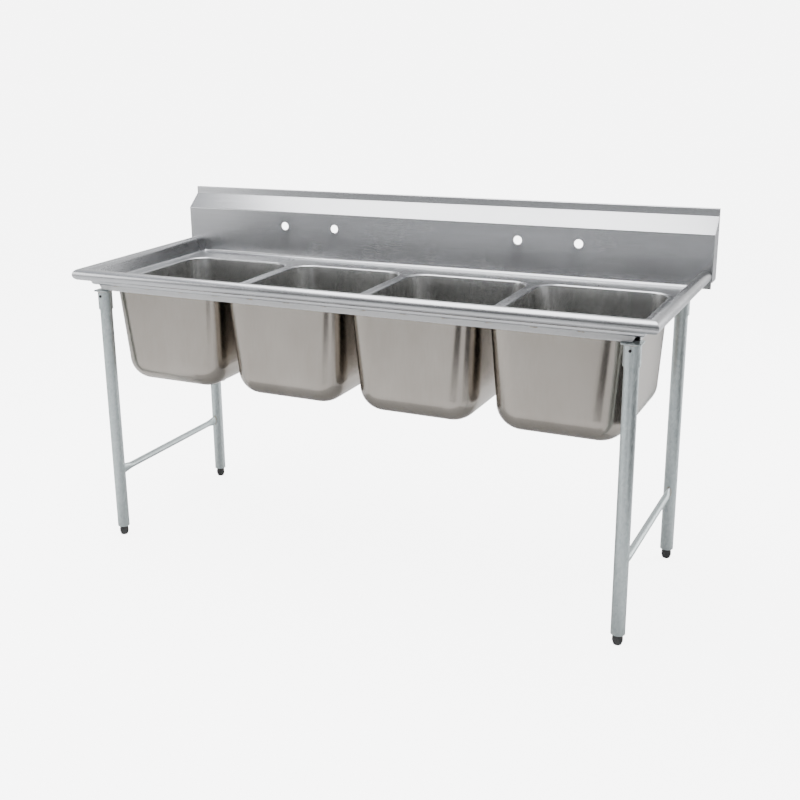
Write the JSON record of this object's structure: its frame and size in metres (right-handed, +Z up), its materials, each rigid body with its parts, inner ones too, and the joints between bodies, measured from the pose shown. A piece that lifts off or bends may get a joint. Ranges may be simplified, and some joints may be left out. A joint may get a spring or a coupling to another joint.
{
  "type": "compartment sink",
  "caption": "Free-standing stainless commercial sink with deep coved bowls side by side, a rolled rim, a splash with faucet holes, and galvanised tube legs on adjustable feet.",
  "frame": {"origin": "on the floor under the middle of the sink's plan outline", "axes": "+X along the sink to the right, +Y towards the wall behind the splash, +Z up"},
  "size_m": [1.9204, 0.762, 1.146],
  "materials": {
    "stainless_top": "number 4 brushed stainless sheet, polished along the rolled rim",
    "stainless_bowl": "drawn stainless with a warm satin finish",
    "stainless_under": "mill finish stainless",
    "galvanised_steel": "galvanised tube, pale blue-green grey",
    "zinc_casting": "die cast zinc",
    "foot_plastic": "moulded black plastic",
    "blackened_steel": "black oxide",
    "plated_brass": "chrome plate",
    "drain_rubber": "black rubber",
    "strainer_steel": "pressed stainless"
  },
  "bodies": {
    "sink": {"front_rim": "stainless_top", "left_rim": "stainless_top", "right_rim": "stainless_top", "deck": "stainless_top", "backsplash": "stainless_top", "splash_end_left": "stainless_top", "splash_end_right": "stainless_top", "front_channel": "stainless_under", "rear_channel": "stainless_under", "end_channel_left": "stainless_under", "end_channel_right": "stainless_under", "leg_socket_front_left": "galvanised_steel", "leg_front_left": "galvanised_steel", "foot_insert_front_left": "zinc_casting", "leg_socket_front_right": "galvanised_steel", "leg_front_right": "galvanised_steel", "foot_insert_front_right": "zinc_casting", "leg_socket_rear_left": "galvanised_steel", "leg_rear_left": "galvanised_steel", "foot_insert_rear_left": "zinc_casting", "leg_socket_rear_right": "galvanised_steel", "leg_rear_right": "galvanised_steel", "foot_insert_rear_right": "zinc_casting", "crossrail_left": "galvanised_steel", "crossrail_right": "galvanised_steel", "set_screws": "blackened_steel", "bowl_1": "stainless_bowl", "drain_body_1": "plated_brass", "drain_gasket_1": "drain_rubber", "drain_locknut_1": "plated_brass", "bowl_2": "stainless_bowl", "drain_body_2": "plated_brass", "drain_gasket_2": "drain_rubber", "drain_locknut_2": "plated_brass", "bowl_3": "stainless_bowl", "drain_body_3": "plated_brass", "drain_gasket_3": "drain_rubber", "drain_locknut_3": "plated_brass", "bowl_4": "stainless_bowl", "drain_body_4": "plated_brass", "drain_gasket_4": "drain_rubber", "drain_locknut_4": "plated_brass"},
    "foot_front_left": {"foot_front_left": "foot_plastic"},
    "foot_front_right": {"foot_front_right": "foot_plastic"},
    "foot_rear_left": {"foot_rear_left": "foot_plastic"},
    "foot_rear_right": {"foot_rear_right": "foot_plastic"},
    "strainer_1": {"strainer_1": "strainer_steel", "strainer_post_1": "plated_brass"},
    "strainer_2": {"strainer_2": "strainer_steel", "strainer_post_2": "plated_brass"},
    "strainer_3": {"strainer_3": "strainer_steel", "strainer_post_3": "plated_brass"},
    "strainer_4": {"strainer_4": "strainer_steel", "strainer_post_4": "plated_brass"}
  },
  "joints": [
    {"name": "foot_front_left_screw", "type": "slide", "parent": "sink", "child": "foot_front_left", "axis": [0, 0, 1], "range_m": [-0.022, 0.012]},
    {"name": "foot_front_right_screw", "type": "slide", "parent": "sink", "child": "foot_front_right", "axis": [0, 0, 1], "range_m": [-0.022, 0.012]},
    {"name": "foot_rear_left_screw", "type": "slide", "parent": "sink", "child": "foot_rear_left", "axis": [0, 0, 1], "range_m": [-0.022, 0.012]},
    {"name": "foot_rear_right_screw", "type": "slide", "parent": "sink", "child": "foot_rear_right", "axis": [0, 0, 1], "range_m": [-0.022, 0.012]},
    {"name": "strainer_1_lift", "type": "slide", "parent": "sink", "child": "strainer_1", "axis": [0, 0, 1], "range_m": [0, 0.45]},
    {"name": "strainer_2_lift", "type": "slide", "parent": "sink", "child": "strainer_2", "axis": [0, 0, 1], "range_m": [0, 0.45]},
    {"name": "strainer_3_lift", "type": "slide", "parent": "sink", "child": "strainer_3", "axis": [0, 0, 1], "range_m": [0, 0.45]},
    {"name": "strainer_4_lift", "type": "slide", "parent": "sink", "child": "strainer_4", "axis": [0, 0, 1], "range_m": [0, 0.45]}
  ]
}
